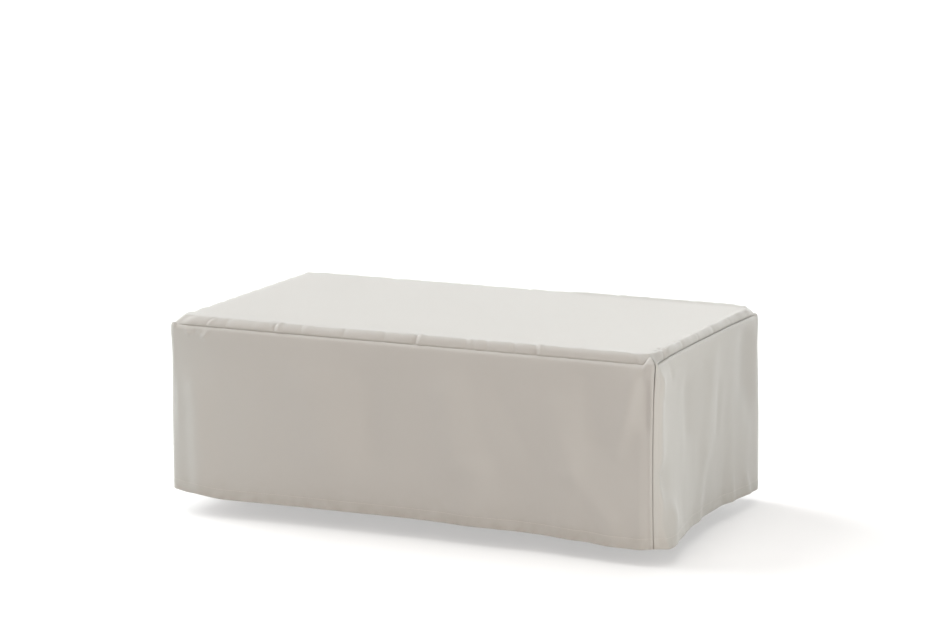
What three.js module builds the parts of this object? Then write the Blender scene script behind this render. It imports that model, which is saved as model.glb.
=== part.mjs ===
import * as THREE from 'three';

// Driving sizes in millimetres. The origin is the middle of the flat underside of the top.
const coverLength = 1120;
const coverWidth = 640;
const clothThickness = 2;
const hemThickness = 3;
const hemDepth = 25;
const rollRadius = 20; // the top panel rolls over its edge to the seam
const cornerRadius = 9; // upright corners of the skirt, in plan
const fullDrop = 380; // from the level of the front seam to the hem
const seamLap = 7; // allowance of the top panel inside the skirt
const lapLean = { middle: 1.1, corner: 3 }; // how far the raw edge of that allowance leans inwards
const hangPower = 1.5; // the hem hangs out by a growing share of its drop
const grooveDepth = { middle: 0.2, corner: 1 }; // how far the top panel draws in beside the seam
const pieceGap = 0.3;
const peakStandOff = 1.2; // extra room under a skirt corner that stands up over the roll
const clothColour = '#d8d4cb';

// Where the cloth is held taut or fades into its corners
const tautReach = 45; // the roll is pulled nearly straight this close to a corner
const tautness = 0.9;
const foldHold = 16; // folds die out this close to an upright corner seam
const foldStart = 36; // and reach their full height this far below the top seam
const cornerPull = 75; // a corner seam draws the panels along over this length

// Grid of each sheet
const topRings = 6; // rows of the top panel between the seam and the flat
const topGrid = { columns: 46, rows: 32 };
const endCrowding = 0.3; // columns crowd towards the corners, where the folds are
const rowCrowding = 1.5; // rows crowd towards the top seam
const cornerStops = [15, 22, 30]; // every grid has columns this far from each corner

// The four sides, each seen from outside: its direction, outward direction, and grid.
// seamBow is how far the top seam rises between the corners.
const sides = {
  front: {
    along: [1, 0], out: [0, -1], half: coverLength / 2, reach: coverWidth / 2,
    seamBow: 0, columns: 52, rows: 14,
  },
  right: {
    along: [0, 1], out: [1, 0], half: coverWidth / 2, reach: coverLength / 2,
    seamBow: 6, columns: 34, rows: 14,
  },
  back: {
    along: [-1, 0], out: [0, 1], half: coverLength / 2, reach: coverWidth / 2,
    seamBow: 2, columns: 40, rows: 11,
  },
  left: {
    along: [0, -1], out: [-1, 0], half: coverWidth / 2, reach: coverLength / 2,
    seamBow: 3, columns: 28, rows: 11,
  },
};

// Upright corner seams, each between the ends of two sides. Beside the top seam a corner is drawn by
// tuck, at half its drop by bow and at the hem by kick. Its cloth rises over the roll by rise, from as
// far away as reach on each side.
const corners = {
  frontLeft: { ends: ['left', 'front'], tuck: [2, 0], bow: [-1, 1], kick: [1, 0], rise: 8, reach: [8, 10] },
  frontRight: { ends: ['front', 'right'], tuck: [0, 0], bow: [-2, 0], kick: [3, -1], rise: 24, reach: [24, 8] },
  backRight: { ends: ['right', 'back'], tuck: [-4, -2], bow: [2, 2], kick: [5, 4], rise: 6, reach: [16, 16] },
  backLeft: { ends: ['back', 'left'], tuck: [0, 0], bow: [-2, 2], kick: [-3, 4], rise: 12, reach: [20, 16] },
};

// The hem: its drop and how far it hangs out, at places along each side
const hems = {
  front: [
    { place: -560, drop: 364, out: 0 },
    { place: -520, drop: 369, out: -1 },
    { place: -435, drop: 378, out: -3 },
    { place: -220, drop: 377, out: -8 },
    { place: 0, drop: 376, out: -9 },
    { place: 190, drop: 378, out: -5 },
    { place: 300, drop: 379, out: -5 },
    { place: 400, drop: 381, out: 4 },
    { place: 478, drop: 384, out: 14 },
    { place: 530, drop: 385, out: 9 },
    { place: 560, drop: 383, out: 0 },
  ],
  right: [
    { place: -320, drop: 383, out: 0 },
    { place: -298, drop: 384, out: 8 },
    { place: -250, drop: 384, out: 16 },
    { place: -165, drop: 384, out: 10 },
    { place: -85, drop: 383, out: 6 },
    { place: 5, drop: 383, out: -2 },
    { place: 100, drop: 384, out: -4 },
    { place: 155, drop: 385, out: 4 },
    { place: 230, drop: 386, out: 8 },
    { place: 285, drop: 387, out: 9 },
    { place: 320, drop: 386, out: 0 },
  ],
  back: [
    { place: -560, drop: 386, out: 0 },
    { place: -470, drop: 381, out: 8 },
    { place: -250, drop: 379, out: -4 },
    { place: 30, drop: 377, out: -8 },
    { place: 260, drop: 378, out: -3 },
    { place: 440, drop: 381, out: 10 },
    { place: 560, drop: 378, out: 0 },
  ],
  left: [
    { place: -320, drop: 378, out: 0 },
    { place: -235, drop: 381, out: 12 },
    { place: -60, drop: 378, out: -4 },
    { place: 130, drop: 376, out: 3 },
    { place: 250, drop: 370, out: 6 },
    { place: 320, drop: 364, out: 0 },
  ],
};

// Main folds: soft ridges, or troughs where the height is below 0, each along a line down its side
const folds = {
  front: [
    { fromPlace: -528, fromDrop: 130, toPlace: -520, toDrop: 345, width: 17, height: -3 },
    { fromPlace: -508, fromDrop: 150, toPlace: -492, toDrop: 340, width: 42, height: 10 },
    { fromPlace: -222, fromDrop: 110, toPlace: -182, toDrop: 250, width: 66, height: 11 },
    { fromPlace: -84, fromDrop: 110, toPlace: -88, toDrop: 230, width: 42, height: -8 },
    { fromPlace: 98, fromDrop: 100, toPlace: 126, toDrop: 240, width: 46, height: 10 },
    { fromPlace: 168, fromDrop: 262, toPlace: 136, toDrop: 350, width: 30, height: 6 },
    { fromPlace: 214, fromDrop: 96, toPlace: 288, toDrop: 224, width: 24, height: -2.8 },
    { fromPlace: 255, fromDrop: 290, toPlace: 262, toDrop: 360, width: 44, height: -5 },
    { fromPlace: 338, fromDrop: 110, toPlace: 374, toDrop: 232, width: 34, height: 5 },
    { fromPlace: 384, fromDrop: 246, toPlace: 474, toDrop: 344, width: 22, height: 2.6 },
    { fromPlace: 405, fromDrop: 40, toPlace: 426, toDrop: 170, width: 30, height: -4 },
    { fromPlace: 508, fromDrop: 20, toPlace: 496, toDrop: 130, width: 32, height: 2.8 },
    { fromPlace: 523, fromDrop: 10, toPlace: 508, toDrop: 90, width: 15, height: 3.4 },
    { fromPlace: 502, fromDrop: 116, toPlace: 484, toDrop: 188, width: 17, height: 3 },
    { fromPlace: 548, fromDrop: 45, toPlace: 548, toDrop: 120, width: 18, height: -3.6 },
    { fromPlace: 476, fromDrop: 190, toPlace: 482, toDrop: 340, width: 56, height: -6 },
  ],
  right: [
    { fromPlace: -309, fromDrop: 10, toPlace: -311, toDrop: 180, width: 36, height: 5.5 },
    { fromPlace: -303, fromDrop: 30, toPlace: -304, toDrop: 190, width: 28, height: 4.5 },
    { fromPlace: -340, fromDrop: 266, toPlace: -268, toDrop: 318, width: 30, height: 9 },
    { fromPlace: -250, fromDrop: 332, toPlace: -190, toDrop: 380, width: 32, height: 6 },
    { fromPlace: -288, fromDrop: 384, toPlace: -280, toDrop: 440, width: 44, height: 19 },
    { fromPlace: -130, fromDrop: 90, toPlace: -60, toDrop: 330, width: 90, height: -5.5 },
    { fromPlace: -128, fromDrop: 90, toPlace: -126, toDrop: 165, width: 26, height: -4 },
    { fromPlace: 20, fromDrop: 60, toPlace: 6, toDrop: 215, width: 34, height: 3.6 },
    { fromPlace: -8, fromDrop: 245, toPlace: -52, toDrop: 374, width: 22, height: 4 },
    { fromPlace: 62, fromDrop: 110, toPlace: 58, toDrop: 205, width: 16, height: -2 },
    { fromPlace: 230, fromDrop: 20, toPlace: 226, toDrop: 125, width: 48, height: -8 },
    { fromPlace: 292, fromDrop: 40, toPlace: 287, toDrop: 160, width: 28, height: 3 },
    { fromPlace: 232, fromDrop: 260, toPlace: 240, toDrop: 370, width: 40, height: 2.4 },
  ],
  back: [
    { fromPlace: -505, fromDrop: 30, toPlace: -495, toDrop: 380, width: 30, height: 6 },
    { fromPlace: -430, fromDrop: 60, toPlace: -400, toDrop: 380, width: 34, height: -5 },
    { fromPlace: -300, fromDrop: 90, toPlace: -330, toDrop: 375, width: 46, height: 5 },
    { fromPlace: -90, fromDrop: 60, toPlace: -60, toDrop: 300, width: 60, height: -4 },
    { fromPlace: 120, fromDrop: 80, toPlace: 90, toDrop: 375, width: 48, height: 5 },
    { fromPlace: 330, fromDrop: 40, toPlace: 300, toDrop: 330, width: 44, height: -5 },
    { fromPlace: 470, fromDrop: 20, toPlace: 440, toDrop: 380, width: 30, height: 7 },
  ],
  left: [
    { fromPlace: -270, fromDrop: 20, toPlace: -262, toDrop: 375, width: 24, height: 6 },
    { fromPlace: -170, fromDrop: 60, toPlace: -190, toDrop: 370, width: 34, height: -5 },
    { fromPlace: -20, fromDrop: 40, toPlace: 20, toDrop: 360, width: 44, height: 5 },
    { fromPlace: 160, fromDrop: 30, toPlace: 140, toDrop: 300, width: 36, height: -4 },
    { fromPlace: 262, fromDrop: 40, toPlace: 270, toDrop: 365, width: 22, height: 5 },
  ],
};

// Lengths worked out from the sizes above
const rollLength = (rollRadius * Math.PI) / 2;
const cornerArc = (cornerRadius * Math.PI) / 4;

const { clamp, lerp, smoothstep } = THREE.MathUtils;

// The share of a side that is straight; the rest is the arc up to the corner seam
function straightShare(side) {
  const straight = side.half - cornerRadius;
  return straight / (straight + cornerArc);
}

// Fraction along a side, from -1 at its left corner seam to 1 at its right one
function columnFraction(side, column, columns) {
  const straight = straightShare(side);
  const stops = [1, (1 + straight) / 2, straight, ...cornerStops.map((stop) => 1 - stop / side.half)];
  const fromEnd = Math.min(column, columns - column);
  const sign = column * 2 < columns ? -1 : 1;
  if (fromEnd < stops.length) return sign * stops[fromEnd];
  const last = stops.length - 1;
  const u = ((column - last) / (columns - 2 * last)) * 2 - 1;
  return stops[last] * (u * (1 + endCrowding) - endCrowding * u ** 3);
}

// Plan of the cover, drawn in by inset: the point and the outward normal at a fraction of a side
function outline(side, fraction, inset) {
  const straight = straightShare(side);
  const sign = Math.sign(fraction);
  const size = Math.abs(fraction);
  const bend = (Math.max(0, size - straight) / (1 - straight)) * (Math.PI / 4);
  const place = (side.half - cornerRadius - inset) * Math.min(1, size / straight);
  const along = sign * (place + cornerRadius * Math.sin(bend));
  const out = side.reach - inset - cornerRadius * (1 - Math.cos(bend));
  const point = [0, 1].map((axis) => side.along[axis] * along + side.out[axis] * out);
  const normal = [0, 1].map(
    (axis) => side.along[axis] * sign * Math.sin(bend) + side.out[axis] * Math.cos(bend),
  );
  return { point, normal };
}

// 1 at a corner, easing to 0 where the roll is no longer held taut
function nearCorner(side, place) {
  return smoothstep(Math.abs(place), side.half - tautReach, side.half - cornerRadius);
}

// Section of the edge at a length from the flat: a quarter roll, pulled straight near the corners
function edgeSection(side, place, length) {
  const turn = clamp(length / rollLength, 0, 1);
  const angle = (turn * Math.PI) / 2;
  const taut = tautness * nearCorner(side, place);
  const inset = rollRadius * lerp(1 - Math.sin(angle), 1 - turn, taut);
  const fall = rollRadius * lerp(1 - Math.cos(angle), turn, taut) + Math.max(0, length - rollLength);
  const lean = Math.PI / 2 - lerp(angle, Math.PI / 4, length < rollLength && length > 0 ? taut : 0);
  return { inset, z: clothThickness - fall, lean };
}

// Rows of a table on either side of a place, eased from one to the next
function tableValue(rows, place, column) {
  const next = clamp(rows.findIndex((row) => row.place >= place), 1, rows.length - 1);
  const low = rows[next - 1];
  const high = rows[next];
  return lerp(low[column], high[column], smoothstep(place, low.place, high.place));
}

// Height of all the folds of a side at a place and drop
function foldHeight(name, place, drop) {
  let height = 0;
  for (const fold of folds[name]) {
    const dPlace = fold.toPlace - fold.fromPlace;
    const dDrop = fold.toDrop - fold.fromDrop;
    const reach = (place - fold.fromPlace) * dPlace + (drop - fold.fromDrop) * dDrop;
    const t = clamp(reach / (dPlace ** 2 + dDrop ** 2), 0, 1);
    const away = Math.hypot(place - fold.fromPlace - t * dPlace, drop - fold.fromDrop - t * dDrop);
    height += fold.height * Math.exp(-((away / fold.width) ** 2));
  }
  return height;
}

// How far the skirt stands out from the plan at a place and drop
function swell(name, place, drop) {
  const side = sides[name];
  const hang = tableValue(hems[name], place, 'out') * (clamp(drop, 0, fullDrop) / fullDrop) ** hangPower;
  const held = 1 - smoothstep(Math.abs(place), side.half - foldHold, side.half);
  const eased = smoothstep(drop, -seamLap, foldStart);
  return (hang + foldHeight(name, place, drop) * eased) * held;
}

// The nearest corner, and which of its two ends this side has
function cornerAt(name, place) {
  const end = place < 0 ? 1 : 0;
  const corner = Object.values(corners).find((one) => one.ends[end] === name);
  return { corner, end };
}

// How far the nearest corner seam draws the cloth along, in plan
function cornerDraw(name, place, drop) {
  const { corner } = cornerAt(name, place);
  const hold = smoothstep(Math.abs(place), sides[name].half - cornerPull, sides[name].half);
  const down = clamp(drop / fullDrop, 0, 1);
  const overRoll = clamp(1 + drop / rollLength, 0, 1) ** 2;
  return [0, 1].map((axis) => {
    const tuck = corner.tuck[axis] * overRoll * (1 - down) ** 2;
    return hold * (tuck + corner.bow[axis] * Math.sin(Math.PI * down) + corner.kick[axis] * down ** 2);
  });
}

// How far the skirt's top edge rises over the roll at a place
function peakRise(name, place) {
  const { corner, end } = cornerAt(name, place);
  const away = (sides[name].half - Math.abs(place)) / corner.reach[end];
  return corner.rise * Math.max(0, 1 - away);
}

// Length from the flat to the top seam, which bows up a little between the corners
function seamLength(name, place) {
  const side = sides[name];
  return rollLength - side.seamBow * (1 - (place / side.half) ** 4) - peakRise(name, place);
}

// A point of the hanging cloth: a fraction of a side, a length down from the flat, and a stand-off
function clothPoint(name, fraction, length, standOff) {
  const side = sides[name];
  const place = fraction * side.half;
  const drop = length - rollLength;
  const section = edgeSection(side, place, length);
  const { point, normal } = outline(side, fraction, section.inset);
  const away = swell(name, place, drop) + standOff;
  const draw = cornerDraw(name, place, drop);
  return new THREE.Vector3(
    point[0] + normal[0] * away * Math.cos(section.lean) + draw[0],
    point[1] + normal[1] * away * Math.cos(section.lean) + draw[1],
    section.z + away * Math.sin(section.lean),
  );
}

// A closed sheet: a box of one cell through its thickness, each of its points put in place
function sheet(name, columns, rows, place) {
  const geometry = new THREE.BoxGeometry(columns, rows, 1, columns, rows, 1);
  const position = geometry.attributes.position;
  for (let index = 0; index < position.count; index += 1) {
    const column = Math.round(position.getX(index) + columns / 2);
    const row = Math.round(position.getY(index) + rows / 2);
    const point = place(column, row, position.getZ(index) > 0);
    position.setXYZ(index, point.x, point.y, point.z);
  }
  geometry.computeVertexNormals();
  const material = new THREE.MeshStandardMaterial({ color: clothColour, roughness: 0.85, metalness: 0 });
  const mesh = new THREE.Mesh(geometry, material);
  mesh.name = name;
  return mesh;
}

// A skirt panel, from its hem at row 0 up to the top seam, parted from its neighbours at the corners
function skirtPanel(name) {
  const side = sides[name];
  const partFraction = ((pieceGap / 2) / cornerArc) * (1 - straightShare(side));
  return sheet(`${name}_panel`, side.columns, side.rows, (column, row, outside) => {
    const whole = columnFraction(side, column, side.columns);
    const fraction = clamp(whole, partFraction - 1, 1 - partFraction);
    const place = fraction * side.half;
    const seam = seamLength(name, place);
    const hem = rollLength + tableValue(hems[name], place, 'drop');
    const down = 1 - row / side.rows;
    const length = lerp(seam, hem, down ** rowCrowding);
    const thickness = length > hem - hemDepth ? hemThickness : clothThickness;
    const overRoll = peakStandOff * smoothstep(peakRise(name, place) * (1 - down * side.rows / 4), 0, 10);
    const outerFace = pieceGap + clothThickness + overRoll;
    return clothPoint(name, fraction, length, outside ? outerFace : outerFace - thickness);
  });
}

// Length from the flat at each ring of the top panel, from its raw edge inside the skirt inwards
function ringLength(ring, seam) {
  if (ring === 0) return seam + seamLap;
  if (ring === 1) return seam - 1;
  return seam * (1 - (ring - 1) / (topRings - 1));
}

// The side and fraction of a point on a ring of the top panel's grid
function ringPlace(column, row, ring) {
  const { columns, rows } = topGrid;
  const across = (name, step, steps, sign) => ({
    name,
    fraction: sign * columnFraction(sides[name], step - ring, steps - 2 * ring),
  });
  if (row === ring) return across('front', column, columns, 1);
  if (column === columns - ring) return across('right', row, rows, 1);
  if (row === rows - ring) return across('back', column, columns, -1);
  return across('left', row, rows, -1);
}

// The top panel: rings over the rolled edge, and a flat field within them
function topPanel() {
  const { columns, rows } = topGrid;
  return sheet('top_panel', columns, rows, (column, row, outside) => {
    const ring = Math.min(column, columns - column, row, rows - row);
    if (ring >= topRings) {
      const x = fieldPlace(sides.front, column, columns);
      const y = fieldPlace(sides.right, row, rows);
      return new THREE.Vector3(x, y, outside ? clothThickness : 0);
    }
    const { name, fraction } = ringPlace(column, row, ring);
    const place = fraction * sides[name].half;
    const length = ringLength(ring, seamLength(name, place));
    const depth = [lapLean, grooveDepth][ring];
    const drawIn = depth ? lerp(depth.middle, depth.corner, nearCorner(sides[name], place)) : 0;
    return clothPoint(name, fraction, length, (outside ? 0 : -clothThickness) - drawIn);
  });
}

// Place of a grid line on the flat field, in line with the ring around it
function fieldPlace(side, step, steps) {
  const fraction = columnFraction(side, step - topRings, steps - 2 * topRings);
  const { point } = outline(side, fraction, rollRadius);
  return point[0] * side.along[0] + point[1] * side.along[1];
}

const cover = new THREE.Group();
cover.add(topPanel(), ...Object.keys(sides).map(skirtPanel));

export default cover;
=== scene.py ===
import math
import bpy
import numpy as np
from mathutils import Matrix, Vector


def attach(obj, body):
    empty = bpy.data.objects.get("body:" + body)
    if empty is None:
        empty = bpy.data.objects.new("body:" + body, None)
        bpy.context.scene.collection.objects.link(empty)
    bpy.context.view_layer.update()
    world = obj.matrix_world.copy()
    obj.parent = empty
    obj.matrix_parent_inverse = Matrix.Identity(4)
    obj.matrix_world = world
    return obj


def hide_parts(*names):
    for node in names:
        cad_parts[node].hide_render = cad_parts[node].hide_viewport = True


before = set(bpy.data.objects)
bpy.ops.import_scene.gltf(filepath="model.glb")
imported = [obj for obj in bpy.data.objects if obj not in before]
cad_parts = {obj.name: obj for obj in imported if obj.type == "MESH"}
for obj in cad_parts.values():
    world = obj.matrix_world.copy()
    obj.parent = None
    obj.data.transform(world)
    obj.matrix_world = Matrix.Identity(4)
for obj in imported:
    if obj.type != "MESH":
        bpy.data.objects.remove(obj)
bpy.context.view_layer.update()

mm = 0.001  # every cloth size below is in millimetres
clothThick = 0.9

# the hanging cloth that all five panels share, with the CAD's sizes
hang = {
    "topFace": 2,  # height of the flat's outer face
    "cornerRadius": 9,
    "rollRadius": 20,  # the top rolls over its edge down to the seam
    "fullDrop": 380,
    "tautReach": 45, "tautness": 0.9,  # the roll is pulled nearly straight at the corners
    "foldHold": 16, "foldStart": (-7, 36),  # folds die out at the corner seams and at the top seam
    "cornerPull": 75,  # how far along a side its corner draws the cloth
    "hangPower": 1.5,  # how late down the drop the cloth swings out to its hem
    "clear": 2.3,  # outer face of the skirt over the top panel's
    # cloth that rises over the roll stands out a little more, in full from a rise of peakFull
    "peakClear": 1.2, "peakLength": 110, "peakFull": 10,
    "wrinkle": 0.28, "wrinkleReach": (45, 160),  # fine unevenness of the skirt
    # corners between two sides: drawn by the first pair beside the top seam, the second at half the
    # drop and the third at the hem; then how high the cloth stands over the roll and from how far
    "corners": {
        ("left", "front"): ((2, 0), (-1, 1), (1, 0), 8, (8, 10)),
        ("front", "right"): ((0, 0), (-2, 0), (3, -1), 24, (24, 8)),
        ("right", "back"): ((-4, -2), (2, 2), (5, 4), 6, (16, 16)),
        ("back", "left"): ((0, 0), (-2, 2), (-3, 4), 12, (20, 16)),
    },
}
rollLength = hang["rollRadius"] * math.pi / 2
cornerArc = hang["cornerRadius"] * math.pi / 4


def ease(value, low, high):
    t = np.clip((value - low) / (high - low), 0, 1)
    return t * t * (3 - 2 * t)


def straightShare(panel):
    straight = panel["half"] - hang["cornerRadius"]
    return straight / (straight + cornerArc)


# plan of the cover drawn in by inset: points and outward directions
def outline(panel, fraction, inset):
    straight = straightShare(panel)
    sign, size = np.sign(fraction), np.abs(fraction)
    bend = np.maximum(0, size - straight) / (1 - straight) * math.pi / 4
    place = (panel["half"] - hang["cornerRadius"] - inset) * np.minimum(1, size / straight)
    along = sign * (place + hang["cornerRadius"] * np.sin(bend))
    out = panel["reach"] - inset - hang["cornerRadius"] * (1 - np.cos(bend))
    a, o = np.array(panel["along"]), np.array(panel["out"])
    point = along[..., None] * a + out[..., None] * o
    normal = (sign * np.sin(bend))[..., None] * a + np.cos(bend)[..., None] * o
    return point, normal


def nearCorner(panel, place):
    return ease(np.abs(place), panel["half"] - hang["tautReach"], panel["half"] - hang["cornerRadius"])


# section of the edge at a length from the flat: how far in it lies, its height and its lean
def edgeSection(panel, place, length):
    radius = hang["rollRadius"]
    turn = np.clip(length / rollLength, 0, 1)
    angle = turn * math.pi / 2
    taut = hang["tautness"] * nearCorner(panel, place)
    inset = radius * ((1 - np.sin(angle)) * (1 - taut) + (1 - turn) * taut)
    fall = radius * ((1 - np.cos(angle)) * (1 - taut) + turn * taut)
    fall = fall + np.maximum(0, length - rollLength)
    leanTaut = np.where((length < rollLength) & (length > 0), taut, 0)
    lean = math.pi / 2 - (angle * (1 - leanTaut) + math.pi / 4 * leanTaut)
    return inset, hang["topFace"] - fall, lean


def tableValue(rows, place, column):
    rows = np.array(rows, float)
    after = np.clip(np.searchsorted(rows[:, 0], place), 1, len(rows) - 1)
    low, high = rows[after - 1], rows[after]
    t = ease(place, low[..., 0], high[..., 0])
    return low[..., column] * (1 - t) + high[..., column] * t


# sum of the fold rows, each a ridge (or trough, below 0) along its own line
def foldHeight(rows, place, drop):
    height = np.zeros(np.broadcast(place, drop).shape)
    for fromPlace, fromDrop, toPlace, toDrop, width, rise, sharp in rows:
        dPlace, dDrop = toPlace - fromPlace, toDrop - fromDrop
        t = ((place - fromPlace) * dPlace + (drop - fromDrop) * dDrop) / (dPlace**2 + dDrop**2)
        t = np.clip(t, 0, 1)
        away = np.hypot(place - fromPlace - t * dPlace, drop - fromDrop - t * dDrop) / width
        rounded = np.exp(-(away**2))
        pointed = np.exp(0.2 - np.sqrt(0.04 + 2.2 * away**2))
        height += rise * (rounded * (1 - sharp) + pointed * sharp)
    return height


# a seeded sum of slow waves, longer down the cloth than across it
def ripple(seed, place, drop, reach, count=14):
    random = np.random.default_rng(seed)
    total = np.zeros(np.broadcast(place, drop).shape)
    for _ in range(count):
        across = random.uniform(reach[0], reach[1])
        down = across * random.uniform(1.2, 3.5) * random.choice((-1, 1))
        phase = random.uniform(0, 2 * math.pi)
        total += np.sin(2 * math.pi * (place / across + drop / down) + phase)
    return total / math.sqrt(count)


def swell(panel, place, drop):
    share = (np.clip(drop, 0, hang["fullDrop"]) / hang["fullDrop"]) ** hang["hangPower"]
    out = tableValue(panel["hem"], place, 2) * share
    held = 1 - ease(np.abs(place), panel["half"] - hang["foldHold"], panel["half"])
    eased = ease(drop, *hang["foldStart"])
    fine = hang["wrinkle"] * ripple(panel["seed"], place, drop, hang["wrinkleReach"])
    return (out + (foldHeight(panel["folds"], place, drop) + fine) * eased) * held


def cornersOf(panel, place):
    for ends, corner in hang["corners"].items():
        if panel["name"] in ends:
            end = ends.index(panel["name"])
            yield (place > 0 if end == 0 else place < 0), end, corner


def cornerDraw(panel, place, drop):
    total = np.zeros(np.broadcast(place, drop).shape + (2,))
    down = np.clip(drop / hang["fullDrop"], 0, 1)
    overRoll = np.clip(1 + drop / rollLength, 0, 1) ** 2
    hold = ease(np.abs(place), panel["half"] - hang["cornerPull"], panel["half"])
    for here, _, (tuck, bow, kick, _, _) in cornersOf(panel, place):
        draw = (overRoll * (1 - down) ** 2)[..., None] * np.array(tuck)
        draw = draw + np.sin(math.pi * down)[..., None] * np.array(bow)
        draw = draw + (down**2)[..., None] * np.array(kick)
        total += draw * (hold * here)[..., None]
    return total


def peakRise(panel, place):
    total = np.zeros(np.shape(place))
    for here, end, (_, _, _, rise, reach) in cornersOf(panel, place):
        total += here * rise * np.maximum(0, 1 - (panel["half"] - np.abs(place)) / reach[end])
    return total


def seamLength(panel, place):
    return rollLength - panel["seamBow"] * (1 - (place / panel["half"]) ** 4) - peakRise(panel, place)


# points of the hanging cloth: fraction of a side, length from the flat, stand-off
def clothPoints(panel, fraction, length, standOff):
    fraction, length, standOff = np.broadcast_arrays(fraction, length, standOff)
    place = fraction * panel["half"]
    drop = length - rollLength
    inset, z, lean = edgeSection(panel, place, length)
    point, normal = outline(panel, fraction, inset)
    away = swell(panel, place, drop) + standOff
    plan = point + normal * (away * np.cos(lean))[..., None] + cornerDraw(panel, place, drop)
    return np.concatenate([plan, (z + away * np.sin(lean))[..., None]], axis=-1)


# a grid of points in millimetres made a mesh, with the flat cloth's place as its UV map
def gridPiece(name, points, flatPlace, dust=None):
    rows, columns = points.shape[:2]
    index = np.arange(rows * columns).reshape(rows, columns)
    quads = np.stack([index[:-1, :-1], index[:-1, 1:], index[1:, 1:], index[1:, :-1]], axis=-1)
    mesh = bpy.data.meshes.new(name)
    mesh.from_pydata((points.reshape(-1, 3) * mm).tolist(), [], quads.reshape(-1, 4).tolist())
    corners = np.empty(len(mesh.loops), int)
    mesh.loops.foreach_get("vertex_index", corners)
    layer = mesh.uv_layers.new(name="cloth")
    layer.data.foreach_set("uv", (flatPlace.reshape(-1, 2)[corners] * mm).astype(np.float32).ravel())
    # painted shade: a mask that darkens the cloth towards the hem goes on the mesh as a point
    # attribute
    if dust is not None:
        layer = mesh.attributes.new("dust", "FLOAT", "POINT")
        layer.data.foreach_set("value", dust.astype(np.float32).ravel())
    piece = bpy.data.objects.new(name, mesh)
    bpy.context.collection.objects.link(piece)
    return piece


# turns what the modifiers make into a plain mesh
def settle(piece):
    graph = bpy.context.evaluated_depsgraph_get()
    mesh = bpy.data.meshes.new_from_object(piece.evaluated_get(graph))
    piece.modifiers.clear()
    piece.data = mesh
    mesh.shade_smooth()
    return piece


def thicken(piece):
    wall = piece.modifiers.new("wall", "SOLIDIFY")
    wall.thickness = clothThick * mm
    wall.offset = 0
    return settle(piece)


# count + 1 places from low to high, closer together at the spots: place, reach, strength
def crowded(low, high, count, spots):
    fine = np.linspace(low, high, 6001)
    density = np.ones_like(fine)
    for at, reach, strength in spots:
        density += strength * np.exp(-(((fine - at) / reach) ** 2))
    run = np.concatenate([[0], np.cumsum((density[1:] + density[:-1]) / 2)])
    return np.interp(np.linspace(0, run[-1], count + 1), run, fine)


# each panel: hem rows are place, drop, out; fold rows are from place and drop, to place and drop,
# width, height and sharpness (0 round, 1 pointed)
frontPanel = {
    "name": "front", "along": (1, 0), "out": (0, -1), "half": 560, "reach": 320, "seamBow": 0,
    "columns": 330, "rows": 104, "flat": (1.125, 0.422), "seed": 11,
    "hem": [
        (-560, 364, 0), (-520, 369, -1), (-435, 378, -3), (-220, 377, -8), (0, 376, -9),
        (190, 378, -5), (300, 379, -5), (400, 381, 4), (478, 384, 14), (530, 385, 9), (560, 383, 0),
    ],
    "folds": [
        (-528, 130, -520, 345, 17, -3, 0), (-508, 150, -492, 340, 42, 10, 0),
        (-222, 110, -182, 250, 66, 11, 0), (-84, 110, -88, 230, 42, -8, 0),
        (98, 100, 126, 240, 46, 10, 0), (168, 262, 136, 350, 30, 6, 0),
        (214, 96, 288, 224, 24, -2.8, 0), (255, 290, 262, 360, 44, -5, 0),
        (338, 110, 374, 232, 34, 5, 0), (384, 246, 474, 344, 22, 2.6, 0),
        (405, 40, 426, 170, 30, -4, 0), (508, 20, 496, 130, 32, 2.8, 0),
        (523, 10, 508, 90, 15, 3.4, 0), (502, 116, 484, 188, 17, 3, 0),
        (548, 45, 548, 120, 18, -3.6, 0), (476, 190, 482, 340, 56, -6, 0),
        (-527, 2, -520, 13, 6, 6, 0), (-467, 2, -480, 20, 5.5, 8, 0), (-499, 3, -503, 13, 5, -5, 0),
    ],
}
rightPanel = {
    "name": "right", "along": (0, 1), "out": (1, 0), "half": 320, "reach": 560, "seamBow": 6,
    "columns": 210, "rows": 104, "flat": (0.645, 0.43), "seed": 23,
    "hem": [
        (-320, 383, 0), (-298, 384, 8), (-250, 384, 16), (-165, 384, 10), (-85, 383, 6),
        (5, 383, -2), (100, 384, -4), (155, 385, 4), (230, 386, 8), (285, 387, 9), (320, 386, 0),
    ],
    "folds": [
        (-309, 10, -311, 180, 36, 5.5, 0), (-252, 4, -224, 36, 9, -2.5, 0),
        (-313, 18, -292, 68, 9, 2.5, 0), (-303, 30, -304, 190, 28, 4.5, 0),
        (-314, 220, -298, 226, 7, -1.4, 0),
        (-340, 266, -268, 318, 30, 9, 0), (-250, 332, -190, 380, 32, 6, 0),
        (-288, 384, -280, 440, 44, 19, 0),
        (-130, 90, -60, 330, 90, -5.5, 0), (-128, 90, -126, 165, 26, -4, 0),
        (20, 60, 6, 215, 34, 3.6, 0), (-8, 245, -52, 374, 22, 4, 0),
        (62, 110, 58, 205, 16, -2, 0), (230, 20, 226, 125, 48, -8, 0),
        (292, 40, 287, 160, 28, 3, 0), (232, 260, 240, 370, 40, 2.4, 0),
        (150, 335, 158, 392, 12, 1.6, 0), (222, 345, 246, 392, 12, 2.8, 0),
    ],
}
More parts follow.
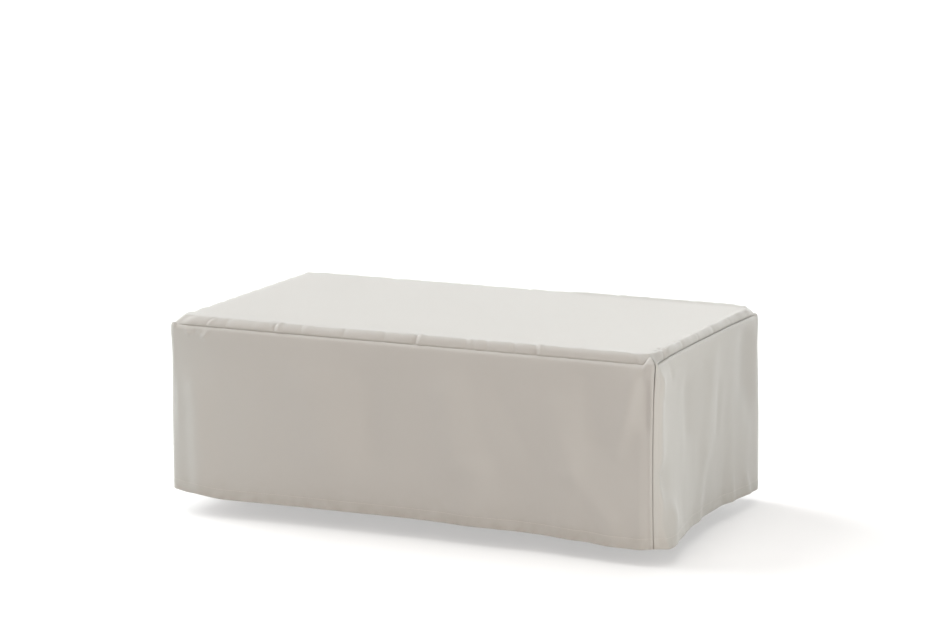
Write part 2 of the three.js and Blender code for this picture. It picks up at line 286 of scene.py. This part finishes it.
backPanel = {
    "name": "back", "along": (-1, 0), "out": (0, 1), "half": 560, "reach": 320, "seamBow": 2,
    "columns": 270, "rows": 92, "flat": (1.125, 0.426), "seed": 37,
    "hem": [
        (-560, 386, 0), (-470, 381, 8), (-250, 379, -4), (30, 377, -8), (260, 378, -3),
        (440, 381, 10), (560, 378, 0),
    ],
    "folds": [
        (-505, 30, -495, 380, 30, 6, 0), (-430, 60, -400, 380, 34, -5, 0),
        (-300, 90, -330, 375, 46, 5, 0), (-90, 60, -60, 300, 60, -4, 0),
        (120, 80, 90, 375, 48, 5, 0), (330, 40, 300, 330, 44, -5, 0),
        (470, 20, 440, 380, 30, 7, 0),
    ],
}
leftPanel = {
    "name": "left", "along": (0, -1), "out": (-1, 0), "half": 320, "reach": 560, "seamBow": 3,
    "columns": 180, "rows": 92, "flat": (0.645, 0.42), "seed": 41,
    "hem": [
        (-320, 378, 0), (-235, 381, 12), (-60, 378, -4), (130, 376, 3), (250, 370, 6), (320, 364, 0),
    ],
    "folds": [
        (-270, 20, -262, 375, 24, 6, 0), (-170, 60, -190, 370, 34, -5, 0),
        (-20, 40, 20, 360, 44, 5, 0), (160, 30, 140, 300, 36, -4, 0),
        (262, 40, 270, 365, 22, 5, 0),
    ],
}
skirt = [frontPanel, rightPanel, backPanel, leftPanel]

# how a skirt panel is sewn up
making = {
    "allowance": 9,  # folded down behind the top seam, and turned in at the corner seams
    "hemTurn": 25,
    "layerGap": 0.25,
    "puffFrom": -1.2, "puff": 5.6, "puffLength": 3.2,  # the top edge swells out over its allowance
    "puffFade": (12, 80),
    "seamRound": 1.35,  # radius at which the cloth turns into a corner seam
    "seamGap": 0.1,
    "buttShare": 0.12, "roundFrom": (6, 24),  # beside the top seam two panels only butt together
    "turnFrom": (10, 34),  # the turned-in allowance starts this far below the top seam
    "stitchUp": 22, "stitchDent": 0.3, "dentWidth": 2,  # the stitches above the hem pull the cloth in
    "dustUp": 24,  # painted shade towards the hem fades out this far above it
    # rows of the grid: depths in the allowance and the turned-up hem, and degrees round their folds
    "allowanceRows": (6, 3.5, 1.9), "seamFold": (-60, -25, 15, 50),
    "hemRows": (0, 3, 7, 12, 17, 21), "hemFold": (30, 65, 100, 140),
    # columns of the grid that turn into a corner seam: degrees round it, then depths behind it
    "cornerFold": (30, 60, 90), "cornerRows": (1.5, 4),
}


# how far the skirt stands over the top panel, by depth below its top edge
def puff(below):
    rest = hang["clear"] - clothThick / 2
    swollen = 1 - np.exp(-np.maximum(0, below) / making["puffLength"])
    out = making["puffFrom"] + making["puff"] * swollen
    return out - (making["puffFrom"] + making["puff"] - rest) * ease(below, *making["puffFade"])


# rows of a skirt panel up inside its top edge, over, down, round the hem and up again:
# what the depth counts from, the depth, and how far the layer lies inside the outer one
def panelRows(panel):
    turn = (clothThick + making["layerGap"]) / 2
    rows = [("seam", depth, 2 * turn) for depth in (making["allowance"], *making["allowanceRows"])]
    for angle in making["seamFold"]:
        a = math.radians(angle)
        rows.append(("seam", turn * (1 - math.cos(a)), turn * (1 - math.sin(a))))
    # rows lie closer together at the top edge, the stitches and the hem
    spots = [(0, 0.035, 5), (1 - making["stitchUp"] / hang["fullDrop"], 0.012, 3), (1, 0.012, 3)]
    rows += [("span", t, 0) for t in crowded(0, 1, panel["rows"], spots)]
    for angle in making["hemFold"]:
        a = math.radians(angle)
        rows.append(("hem", turn * (math.sin(a) - 1), turn * (1 - math.cos(a))))
    rows += [("hem", -turn - depth, 2 * turn) for depth in (*making["hemRows"], making["hemTurn"])]
    return rows


# adds the columns that turn into the corner seam at one end of a panel's grid
def turnedIn(panel, points, flat, layers, end):
    sign = -1 if end == 0 else 1
    along, out = np.array(panel["along"]), np.array(panel["out"])
    inward = np.append(-(out + sign * along), 0) / math.sqrt(2)
    sideways = np.append(sign * along - out, 0) / math.sqrt(2)
    edge, edgeFlat = points[:, end], flat[:, end]
    drop = hang["topFace"] - hang["rollRadius"] - edge[:, 2]
    butt = making["buttShare"]
    share = (butt + (1 - butt) * ease(drop, *making["roundFrom"]))[:, None]
    radius = (making["seamRound"] - layers)[:, None]
    wide = radius + (1 - share) * clothThick / 2
    deep = ease(drop, *making["turnFrom"])[:, None]
    newPoints, newFlat = [], []
    for angle in making["cornerFold"]:
        a = math.radians(angle)
        turn = sideways * wide * math.sin(a) + inward * radius * share * (1 - math.cos(a))
        newPoints.append(edge + turn)
        newFlat.append(edgeFlat + [sign * making["seamRound"] * a, 0])
    folded, foldedFlat = newPoints[-1], newFlat[-1]
    for depth in (*making["cornerRows"], making["allowance"]):
        newPoints.append(folded + inward * depth * deep)
        newFlat.append(foldedFlat + np.array([sign * depth, 0]))
    if end == 0:
        return np.stack(newPoints[::-1], 1), np.stack(newFlat[::-1], 1)
    return np.stack(newPoints, 1), np.stack(newFlat, 1)


def makePanel(panel):
    start = making["seamGap"] / 2 + clothThick / 2 + making["seamRound"]
    end = 1 - start / cornerArc * (1 - straightShare(panel))
    # columns lie closer together toward the corner seams
    spots = [(sign * panel["half"], 40, 1.6) for sign in (-1, 1)]
    spots += [(sign * (panel["half"] - 5), 12, 2.5) for sign in (-1, 1)]
    place = crowded(-end * panel["half"], end * panel["half"], panel["columns"], spots)
    fraction = place / panel["half"]
    seam = seamLength(panel, place)
    hem = rollLength + tableValue(panel["hem"], place, 1)
    turn = (clothThick + making["layerGap"]) / 2
    points, flat = [], []
    rows = panelRows(panel)
    for kind, depth, layer in rows:
        if kind == "span":
            below = turn + depth * (hem - seam - 2 * turn)
            run = below
        elif kind == "seam":
            below = np.full_like(place, depth)
            run = below - 2 * below * (layer > turn)
        else:
            below = hem - seam + depth
            run = hem - seam + np.abs(depth)
        fromStitches = hem - seam - making["stitchUp"] - below
        dent = making["stitchDent"] * np.exp(-((fromStitches / making["dentWidth"]) ** 2))
        dent = dent * (layer == 0)
        lifted = peakRise(panel, place) * (1 - below / hang["peakLength"])
        lifted = ease(lifted, 0, hang["peakFull"])
        stand = puff(below) - layer - dent + hang["peakClear"] * lifted
        points.append(clothPoints(panel, fraction, seam + below, stand))
        flat.append(np.stack([place, -run], -1))
    points, flat = np.array(points), np.array(flat)
    layers = np.array([layer for _, _, layer in rows])
    left, leftFlat = turnedIn(panel, points, flat, layers, 0)
    right, rightFlat = turnedIn(panel, points, flat, layers, -1)
    points = np.concatenate([left, points, right], axis=1)
    flat = np.concatenate([leftFlat, flat, rightFlat], axis=1)
    # painted shade: 1 at the hem and fading out upward, it darkens the cloth low on the skirt where
    # shade falls
    aboveHem = points[..., 2] - points[..., 2].min(axis=0)
    dust = np.exp(-aboveHem / making["dustUp"])
    piece = gridPiece("cover_" + panel["name"], points[::-1], flat[::-1], dust[::-1])
    return thicken(piece)


topPanel = {
    "columns": 236, "rows": 146,
    "rings": 20, "ringPower": 1.1,  # rings lie a little closer together toward the seam
    # the grid's lines are crowded at the corners and at the creases: how far, in halves of a long and
    # a short side or in widths of a crease, and how strongly
    "cornerReach": (0.03, 0.05), "cornerCrowd": 2.2, "creaseReach": 2.2, "creaseCrowd": 1.1,
    "flat": (1.165, 0.685),
    "seed": 5,
    "lap": 7, "lapStart": 1.2, "lapLean": 0.5,  # allowance inside the skirt
    # the roll draws in just above the seam, but not at the corners
    "tuck": 2.3, "tuckReach": 5, "tuckFrom": (2, 28),
    # how unevenly the roll swells along its length, from the flat's edge and away from the corners
    "bulge": 0.5, "bulgeReach": (26, 90), "bulgeStretch": 0.4,
    "bulgeStart": (-8, 6), "bulgeFrom": (10, 60),
    "seamFade": (-4, 1),  # creases and swelling end at the seam
    "wrinkle": 0.12, "wrinkleReach": (60, 240),
    "steepFrom": 0.96,  # turn, in radians, past which the roll lies inside its quarter circle
    "squareFrom": (4, 40),  # the corners stay round
    # the roll turns sharply off the flat and then falls steeply: side, place along it, and how much
    "square": [
        ("front", -560, 1), ("front", -240, 3), ("front", 60, 16), ("front", 560, 18),
        ("right", -310, 15), ("right", 310, 17), ("back", -560, 4), ("back", 560, 3),
        ("left", -310, 4), ("left", 310, 2),
    ],
    # short creases over the roll: side, from place and length, to place and length, width, height,
    # sharpness
    "creases": [
        ("front", -475, 4, -479, 29, 5, -2.4, 0.5), ("front", -468, 8, -472, 27, 5, 1.6, 0.3),
        ("front", -436, 6, -431, 28, 5, -2.2, 0.5), ("front", -372, -3, -352, -1, 6, -0.9, 0.3),
        ("front", -322, -4, -312, 27, 5, -3.2, 0.5), ("front", -309, 3, -304, 27, 5, 2.4, 0.3),
        ("front", -253, 8, -250, 28, 5, -1.9, 0.5), ("front", -226, -3, -180, -2, 6, -1, 0.3),
        ("front", -151, 6, -149, 28, 5, -2, 0.5), ("front", -98, -2, -70, -4, 7, 0.9, 0.3),
        ("front", -55, 6, -52, 28, 5, -2.1, 0.5), ("front", -16, -2, 10, -4, 5, -0.8, 0.3),
        ("front", 24, 0, 20, 28, 5, -3, 0.5), ("front", 34, 2, 30, 28, 5, 1.8, 0.3),
        ("front", 82, -3, 118, -1, 7, -0.9, 0.3), ("front", 141, 4, 137, 28, 5, -2.2, 0.5),
        ("front", 157, 6, 155, 28, 5, -1.8, 0.5), ("front", 187, 6, 183, 28, 5, -2.2, 0.5),
        ("front", 206, -6, 246, -7, 5, 1, 0.3), ("front", 251, 4, 249, 28, 5, -2, 0.5),
        ("front", 302, 0, 296, 28, 5, -3, 0.5), ("front", 312, 4, 307, 28, 5, 2, 0.3),
        ("front", 366, -3, 398, -2, 7, -0.8, 0.3), ("front", 448, -2, 486, -4, 6, 0.8, 0.3),
        ("front", 521, 4, 519, 30, 5, -2.2, 0.5),
        ("right", -257, -2, -262, 26, 6, -3.6, 0.5), ("right", -246, 6, -251, 26, 5, 2, 0.3),
        ("right", -234, -4, -240, 26, 6, -3.6, 0.5), ("right", -200, -3, -172, -2, 7, -0.9, 0.3),
        ("right", -146, -2, -150, 26, 6, -2.4, 0.5), ("right", -110, -3, -84, -3, 6, 0.8, 0.3),
        ("right", -52, 0, -56, 26, 6, -2.2, 0.5), ("right", 44, 4, 40, 26, 6, -1.4, 0.5),
        ("right", 150, 4, 147, 26, 6, -1.2, 0.5),
        ("back", -545, 7, -140, 7, 16, 2.4, 0), ("left", 262, 8, -285, 8, 18, -3, 0),
        ("back", -240, 4, -236, 28, 5, -1.4, 0.5), ("back", -20, 2, -16, 28, 5, -1.8, 0.5),
        ("back", 150, 6, 148, 28, 5, -1.1, 0.5), ("back", 322, 2, 318, 28, 5, -1.7, 0.5),
        ("left", 52, 2, 56, 28, 5, -1.6, 0.5), ("left", 150, 4, 146, 28, 5, -1.2, 0.5),
        ("left", 236, 2, 240, 28, 5, -1.8, 0.5),
    ],
}


# where a grid point of the top panel lies on its ring: masks and fractions for each side, with the
# lines closer together at the corners and at the creases
def topRings(columns, rows):
    c, r = np.meshgrid(np.arange(columns + 1), np.arange(rows + 1))
    ring = np.minimum.reduce([c, columns - c, r, rows - r])
    reachX, reachY = topPanel["cornerReach"]
    spotsX = [(sign, reachX, topPanel["cornerCrowd"]) for sign in (-1, 1)]
    spotsY = [(sign, reachY, topPanel["cornerCrowd"]) for sign in (-1, 1)]
    for side, fromPlace, _, _, _, width, _, _ in topPanel["creases"]:
        panel = next(one for one in skirt if one["name"] == side)
        turned = -1 if side in ("back", "left") else 1
        spots = spotsX if side in ("front", "back") else spotsY
        reach = topPanel["creaseReach"] * width / panel["half"]
        spots.append((turned * fromPlace / panel["half"], reach, topPanel["creaseCrowd"]))
    fineX, fineY = crowded(-1, 1, 2000, spotsX), crowded(-1, 1, 2000, spotsY)
    table = np.linspace(0, 1, 2001)
    acrossX = np.interp((c - ring) / np.maximum(1, columns - 2 * ring), table, fineX)
    acrossY = np.interp((r - ring) / np.maximum(1, rows - 2 * ring), table, fineY)
    sides = {
        "front": (r == ring, acrossX), "right": (c == columns - ring, acrossY),
        "back": (r == rows - ring, -acrossX), "left": (c == ring, -acrossY),
    }
    full = topPanel["rings"]
    fieldX = np.interp((c - full) / (columns - 2 * full), table, fineX)
    fieldY = np.interp((r - full) / (rows - 2 * full), table, fineY)
    return ring, sides, fieldX, fieldY


# rows of a list of the top panel that belong to one side
def rowsOf(panel, rows):
    return [row[1:] for row in rows if row[0] == panel["name"]]


# how far the squared roll stands out from its quarter circle
def squared(panel, place, length):
    turn = np.clip(length / rollLength, 0, 1) * math.pi / 2
    much = tableValue(rowsOf(panel, topPanel["square"]), place, 1)
    much = much * ease(panel["half"] - np.abs(place), *topPanel["squareFrom"])
    return (np.sin(turn) + np.cos(turn) - 1) * (1 - turn / topPanel["steepFrom"]) * much


# fine unevenness of the top, from its plan
def topWrinkle(plan):
    waves = ripple(topPanel["seed"], plan[..., 0], plan[..., 1], topPanel["wrinkleReach"])
    return topPanel["wrinkle"] * waves


def makeTop():
    columns, rows, rings = topPanel["columns"], topPanel["rows"], topPanel["rings"]
    ring, sides, fieldX, fieldY = topRings(columns, rows)
    points = np.zeros(ring.shape + (3,))
    flat = np.zeros(ring.shape + (2,))
    field = ring >= rings
    points[..., 0] = outline(frontPanel, fieldX, hang["rollRadius"])[0][..., 0]
    points[..., 1] = outline(rightPanel, fieldY, hang["rollRadius"])[0][..., 1]
    points[..., 2] = hang["topFace"] - clothThick / 2 + topWrinkle(points)
    flat[...] = points[..., :2]
    done = field.copy()
    for panel in skirt:
        creases = rowsOf(panel, topPanel["creases"])
        along, out = np.array(panel["along"]), np.array(panel["out"])
        onPlace = points[field][:, :2] @ along
        inward = panel["reach"] - hang["rollRadius"] - points[field][:, :2] @ out
        points[field, 2] += foldHeight(creases, onPlace, -inward)
        mask, across = sides[panel["name"]]
        mask = mask & ~done
        done |= mask
        fraction, k = across[mask], ring[mask]
        place = fraction * panel["half"]
        seam = seamLength(panel, place)
        lap = topPanel["lap"]
        # three rings lie in the allowance, the others between the seam and the flat
        share = (np.maximum(k - 3, 0) / (rings - 3)) ** topPanel["ringPower"]
        length = np.select(
            [k == 0, k == 1, k == 2], [seam + lap, seam + lap / 2, seam + topPanel["lapStart"]],
            seam * (1 - share))
        below = length - seam
        fromCorner = panel["half"] - np.abs(place)
        aboveSeam = 1 - ease(below, *topPanel["seamFade"])
        drawnIn = ease(below, -topPanel["tuckReach"], 0) * ease(fromCorner, *topPanel["tuckFrom"])
        stand = -clothThick / 2 - topPanel["tuck"] * drawnIn
        stand = stand - topPanel["lapLean"] * np.maximum(0, below) / lap
        stand = stand + foldHeight(creases, place, length) * aboveSeam
        stand = stand + topWrinkle(outline(panel, fraction, 0)[0]) + squared(panel, place, length)
        swollen = ease(length, *topPanel["bulgeStart"]) * aboveSeam
        swollen = swollen * ease(fromCorner, *topPanel["bulgeFrom"])
        stretched = length * topPanel["bulgeStretch"]
        uneven = ripple(panel["seed"], place, stretched, topPanel["bulgeReach"])
        stand = stand + topPanel["bulge"] * uneven * swollen
        points[mask] = clothPoints(panel, fraction, length, stand)
        flat[mask] = outline(panel, fraction, hang["rollRadius"])[0] + length[:, None] * out
    piece = gridPiece("cover_top", points, flat)
    return thicken(piece)


# a shader or geometry socket that takes part in sums, each of which becomes a Math node
class Wire:
    def __init__(self, sheet, socket):
        self.sheet, self.socket = sheet, socket

    def other(self, name):
        return Wire(self.sheet, self.socket.node.outputs[name])

    def maths(self, operation, *values):
        return self.sheet.node("ShaderNodeMath", {"operation": operation}, dict(enumerate(values)))

    def sine(self):
        return self.maths("SINE", self)

    def __add__(self, value):
        return self.maths("ADD", self, value)

    def __sub__(self, value):
        return self.maths("SUBTRACT", self, value)

    def __rsub__(self, value):
        return self.maths("SUBTRACT", value, self)

    def __mul__(self, value):
        return self.maths("MULTIPLY", self, value)

    __radd__ = __add__
    __rmul__ = __mul__


class NodeSheet:
    def __init__(self, tree):
        self.tree = tree

    def node(self, kind, settings=None, values=None):
        made = self.tree.nodes.new(kind)
        for name, value in (settings or {}).items():
            setattr(made, name, value)
        for name, value in (values or {}).items():
            if isinstance(value, Wire):
                self.tree.links.new(value.socket, made.inputs[name])
            else:
                made.inputs[name].default_value = value
        return Wire(self, made.outputs[0]) if len(made.outputs) else made

    # one colour into another by a share
    def mix(self, share, low, high):
        made = self.node("ShaderNodeMix", {"data_type": "RGBA"}, {0: share, 6: low, 7: high})
        return made.other("Result")


cloth = {
    "colour": (0.425, 0.413, 0.392, 1), "shade": (0.406, 0.395, 0.374, 1),
    # painted shade: a darker, warmer colour mixed in towards the hem, and how strongly it goes in
    "dust": (0.325, 0.303, 0.27, 1), "paintedHemShadeAmount": 1.1,
    "threadPitch": 0.0011,  # two threads of the plain weave
    "threadHeight": 0.5, "slubHeight": 0.5, "crumpleHeight": 1.2,
    "slubScale": 900, "slubStretch": 0.12, "crumpleScale": 60, "cloudScale": 7, "paintedHemShadeScale": 40,
    "slubTone": 0.35, "cloudTone": 0.3,  # how much each goes into the shade
    "bumpStrength": 0.25, "bumpDepth": 0.0004,
    "roughness": 0.74, "roughnessSpread": 0.12, "specular": 0.35,
    "sheen": 0.12, "sheenRoughness": 0.5,
}


def makeClothMaterial():
    material = bpy.data.materials.new("cover cloth")
    material.use_nodes = True
    material.node_tree.nodes.clear()
    sheet = NodeSheet(material.node_tree)
    place = sheet.node("ShaderNodeUVMap", {"uv_map": "cloth"})
    across = sheet.node("ShaderNodeSeparateXYZ", None, {"Vector": place})
    turns = 2 * math.pi / cloth["threadPitch"]
    threads = (across * turns).sine() * (across.other("Y") * turns).sine()

    def noise(scale, stretch=(1, 1, 1), detail=2):
        spot = sheet.node("ShaderNodeVectorMath", {"operation": "MULTIPLY"}, {0: place, 1: stretch})
        return sheet.node("ShaderNodeTexNoise", {"noise_dimensions": "2D"},
                          {"Vector": spot, "Scale": scale, "Detail": detail})

    warpSlubs = noise(cloth["slubScale"], (1, cloth["slubStretch"], 1))
    weftSlubs = noise(cloth["slubScale"], (cloth["slubStretch"], 1, 1))
    crumple = noise(cloth["crumpleScale"], detail=4)
    clouds = noise(cloth["cloudScale"], detail=3)
    height = threads * cloth["threadHeight"] + (warpSlubs + weftSlubs) * cloth["slubHeight"]
    height = height + crumple * cloth["crumpleHeight"]
    bump = sheet.node("ShaderNodeBump", None, {
        "Height": height, "Strength": cloth["bumpStrength"], "Distance": cloth["bumpDepth"]})
    tone = (warpSlubs + weftSlubs) * cloth["slubTone"] + clouds * cloth["cloudTone"]
    colour = sheet.mix(tone, cloth["shade"], cloth["colour"])
    # painted shade: the cloth is darkened towards the hem, unevenly by noise
    dust = sheet.node("ShaderNodeAttribute", {"attribute_name": "dust"}).other("Fac")
    hemShaded = sheet.mix(dust * cloth["paintedHemShadeAmount"] * noise(cloth["paintedHemShadeScale"]), colour, cloth["dust"])
    shader = sheet.node("ShaderNodeBsdfPrincipled", None, {
        "Base Color": hemShaded,
        "Roughness": cloth["roughness"] + (clouds - 0.5) * cloth["roughnessSpread"],
        "Normal": bump,
        "Sheen Weight": cloth["sheen"], "Sheen Roughness": cloth["sheenRoughness"],
        "Specular IOR Level": cloth["specular"],
    })
    sheet.node("ShaderNodeOutputMaterial", None, {"Surface": shader})
    return material


stitching = {
    "pitch": 3.6, "length": 2.8, "thickness": 0.55, "tilt": 0.12, "seed": 4,
    "proud": 0.12,  # out of the dent they pull in the cloth
    "fromSeam": 4,  # a line of stitches ends this far from the corner seams
    "step": 4,  # between the points of that line
    "thread": (0.60, 0.575, 0.53, 1), "darker": 0.9, "roughness": 0.55,
    "twistScale": 1500, "twistStrength": 0.3, "twistDepth": 0.0002,
}


def makeThreadMaterial():
    material = bpy.data.materials.new("cover thread")
    material.use_nodes = True
    material.node_tree.nodes.clear()
    sheet = NodeSheet(material.node_tree)
    place = sheet.node("ShaderNodeTexCoord").other("Object")
    twist = sheet.node("ShaderNodeTexNoise", None, {
        "Vector": place, "Scale": stitching["twistScale"], "Detail": 1})
    dark = tuple(stitching["darker"] * part for part in stitching["thread"][:3]) + (1,)
    bump = sheet.node("ShaderNodeBump", None, {
        "Height": twist, "Strength": stitching["twistStrength"], "Distance": stitching["twistDepth"]})
    shader = sheet.node("ShaderNodeBsdfPrincipled", None, {
        "Base Color": sheet.mix(twist, dark, stitching["thread"]),
        "Roughness": stitching["roughness"], "Normal": bump})
    sheet.node("ShaderNodeOutputMaterial", None, {"Surface": shader})
    return material


# the tree that sets one stitch after another along a line
def stitchTree(material):
    tree = bpy.data.node_groups.new("hem stitches", "GeometryNodeTree")
    tree.interface.new_socket("Line", in_out="INPUT", socket_type="NodeSocketGeometry")
    for name in ("Pitch", "Length", "Thickness", "Tilt"):
        tree.interface.new_socket(name, in_out="INPUT", socket_type="NodeSocketFloat")
    tree.interface.new_socket("Seed", in_out="INPUT", socket_type="NodeSocketInt")
    tree.interface.new_socket("Stitches", in_out="OUTPUT", socket_type="NodeSocketGeometry")
    sheet = NodeSheet(tree)
    given = sheet.node("NodeGroupInput")
    curve = sheet.node("GeometryNodeMeshToCurve", None, {"Mesh": given})
    spaced = sheet.node("GeometryNodeResampleCurve", {"mode": "LENGTH"},
                        {"Curve": curve, "Length": given.other("Pitch")})
    tangent = sheet.node("GeometryNodeInputTangent")
    aligned = sheet.node("FunctionNodeAlignRotationToVector", {"axis": "X"}, {"Vector": tangent})
    tilt = given.other("Tilt")
    swing = sheet.node("FunctionNodeRandomValue", {"data_type": "FLOAT"},
                       {"Min": tilt * -1, "Max": tilt, "Seed": given.other("Seed")}).other("Value")
    swung = sheet.node("FunctionNodeAxisAngleToRotation", None, {"Axis": (0, 1, 0), "Angle": swing})
    turned = sheet.node("FunctionNodeRotateRotation", {"rotation_space": "LOCAL"},
                        {"Rotation": aligned, "Rotate By": swung})
    # a bead one unit across, which its scale makes as long and thick as the thread
    bead = sheet.node("GeometryNodeMeshUVSphere", None, {"Segments": 8, "Rings": 5, "Radius": 0.5})
    size = sheet.node("ShaderNodeCombineXYZ", None, {
        "X": given.other("Length"), "Y": given.other("Thickness"), "Z": given.other("Thickness")})
    lying = sheet.node("GeometryNodeTransform", None, {
        "Geometry": bead, "Rotation": (0, math.pi / 2, 0)})
    stitches = sheet.node("GeometryNodeInstanceOnPoints", None, {
        "Points": spaced, "Instance": lying, "Rotation": turned, "Scale": size})
    real = sheet.node("GeometryNodeRealizeInstances", None, {"Geometry": stitches})
    smooth = sheet.node("GeometryNodeSetShadeSmooth", None, {"Geometry": real})
    dressed = sheet.node("GeometryNodeSetMaterial", None, {"Geometry": smooth, "Material": material})
    sheet.node("NodeGroupOutput", None, {"Stitches": dressed})
    return tree


# one line of points along each panel's hem, on its outer face
def makeHemStitches():
    points, edges = [], []
    for panel in skirt:
        end = panel["half"] - stitching["fromSeam"]
        place = np.linspace(-end, end, 2 * panel["half"] // stitching["step"])
        length = rollLength + tableValue(panel["hem"], place, 1) - making["stitchUp"]
        stand = puff(length - seamLength(panel, place)) + clothThick / 2
        stand = stand - making["stitchDent"] + stitching["proud"]
        line = clothPoints(panel, place / panel["half"], length, stand)
        first = len(points)
        points += (line * mm).tolist()
        edges += [(first + i, first + i + 1) for i in range(len(line) - 1)]
    mesh = bpy.data.meshes.new("hem_stitches")
    mesh.from_pydata(points, edges, [])
    piece = bpy.data.objects.new("hem_stitches", mesh)
    bpy.context.collection.objects.link(piece)
    nodes = piece.modifiers.new("stitches", "NODES")
    nodes.node_group = stitchTree(makeThreadMaterial())
    values = {
        "Pitch": stitching["pitch"] * mm, "Length": stitching["length"] * mm,
        "Thickness": stitching["thickness"] * mm, "Tilt": stitching["tilt"], "Seed": stitching["seed"],
    }
    for item in nodes.node_group.interface.items_tree:
        if item.name in values:
            nodes[item.identifier] = values[item.name]
    return settle(piece)


camera = {
    "place": (2.95142, -6.63429, 1.33021),
    "yaw": 23.9406, "pitch": 10.4255, "roll": 0.155,  # degrees
    "sensor": 36, "focal": 3379.26 / 940,  # focal length as a share of the picture's width
}


def makeCamera():
    data = bpy.data.cameras.new("camera")
    data.sensor_width = camera["sensor"]
    data.lens = camera["sensor"] * camera["focal"]
    data.clip_end = 200
    lookout = bpy.data.objects.new("camera", data)
    turn = Matrix.Rotation(math.radians(camera["yaw"]), 4, "Z")
    turn = turn @ Matrix.Rotation(math.radians(90 - camera["pitch"]), 4, "X")
    turn = turn @ Matrix.Rotation(math.radians(camera["roll"]), 4, "Z")
    lookout.matrix_world = Matrix.Translation(camera["place"]) @ turn
    bpy.context.collection.objects.link(lookout)
    bpy.context.scene.camera = lookout


studio = {
    "floorLevel": -0.4384, "floorReach": 40,
    "floorColour": (0.48, 0.47, 0.463, 1), "floorRoughness": 0.9, "floorSpecular": 0.1,
    "floorGlow": 0.42,  # the lit floor of a white studio, which keeps the shadow beneath pale
    # soft lights from far off: name, the direction each comes from, strength, width in degrees, colour
    "lights": [
        ("overhead", (-0.05, 0.05, 1), 1.08, 50, (0.98, 0.99, 1)),
        ("top key", (-0.72, 0.03, 0.69), 2.6, 40, (0.97, 1, 1)),
        ("left rim", (-0.92, 0.33, 0.2), 2.9, 36, (1, 0.98, 1)),
        ("back graze", (0, 0.97, 0.12), 3.5, 30, (0.97, 1, 1)),
        ("right graze", (0.95, -0.22, 0.06), 1.65, 30, (1, 1, 0.95)),
        ("front fill", (0, -0.72, 0.7), 1.25, 60, (1, 0.97, 0.93)),
        ("front glow", (0.05, -0.99, 0.1), 0.52, 40, (1, 0.58, 0.36)),
    ],
    # panels of light near enough to fall off across the cover: name, place, aim, size, power, colour
    "panels": [
        ("right softbox", (1.25, -0.42, -0.12), (0.56, -0.3, -0.2), (0.4, 0.5), 1.35, (1, 1, 0.95)),
        ("left strip", (-0.72, -0.45, -0.2), (-0.56, -0.32, -0.2), (0.08, 0.42), 0.16, (0.6, 0.92, 1)),
    ],
}


def hangLight(data, energy, colour, place, away):
    data.energy = energy
    data.color = colour
    light = bpy.data.objects.new(data.name, data)
    light.matrix_world = Matrix.Translation(place) @ away.to_track_quat("Z", "Y").to_matrix().to_4x4()
    bpy.context.collection.objects.link(light)


def makeStudio():
    reach, level = studio["floorReach"], studio["floorLevel"]
    mesh = bpy.data.meshes.new("floor")
    corners = [(x * reach, y * reach, level) for x, y in ((-1, -1), (1, -1), (1, 1), (-1, 1))]
    mesh.from_pydata(corners, [], [(0, 1, 2, 3)])
    floor = bpy.data.objects.new("floor", mesh)
    bpy.context.collection.objects.link(floor)
    material = bpy.data.materials.new("pale floor")
    material.use_nodes = True
    shader = material.node_tree.nodes["Principled BSDF"]
    shader.inputs["Base Color"].default_value = studio["floorColour"]
    shader.inputs["Roughness"].default_value = studio["floorRoughness"]
    shader.inputs["Specular IOR Level"].default_value = studio["floorSpecular"]
    shader.inputs["Emission Color"].default_value = (1, 1, 1, 1)
    shader.inputs["Emission Strength"].default_value = studio["floorGlow"]
    mesh.materials.append(material)
    world = bpy.data.worlds.new("studio")
    world.use_nodes = True
    world.node_tree.nodes["Background"].inputs["Strength"].default_value = 0
    bpy.context.scene.world = world
    for name, fromWhere, strength, width, colour in studio["lights"]:
        data = bpy.data.lights.new(name, "SUN")
        data.angle = math.radians(width)
        hangLight(data, strength, colour, Vector((0, 0, 0)), Vector(fromWhere))
    for name, place, aim, size, power, colour in studio["panels"]:
        data = bpy.data.lights.new(name, "AREA")
        data.shape = "RECTANGLE"
        data.size, data.size_y = size
        hangLight(data, power, colour, Vector(place), Vector(place) - Vector(aim))
    bpy.context.scene.view_settings.view_transform = "Standard"


makeCamera()
makeStudio()
print("camera and studio set")

clothMaterial = makeClothMaterial()
stitches = makeHemStitches()
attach(stitches, "root")
print("hem stitched")

pieces = [(makeTop(), "top_panel", topPanel["flat"], "draped", [])]
print("top laid")
for panel in skirt:
    pieces.append((makePanel(panel), panel["name"] + "_panel", panel["flat"], "hung", ["cover_top"]))
    print(panel["name"] + " panel hung")
for piece, node, flat, held, restsOn in pieces:
    piece.data.materials.clear()
    piece.data.materials.append(clothMaterial)
    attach(piece, "root")
    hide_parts(node)
    sewn = [stitches] if held == "hung" else []
print("cover dressed")
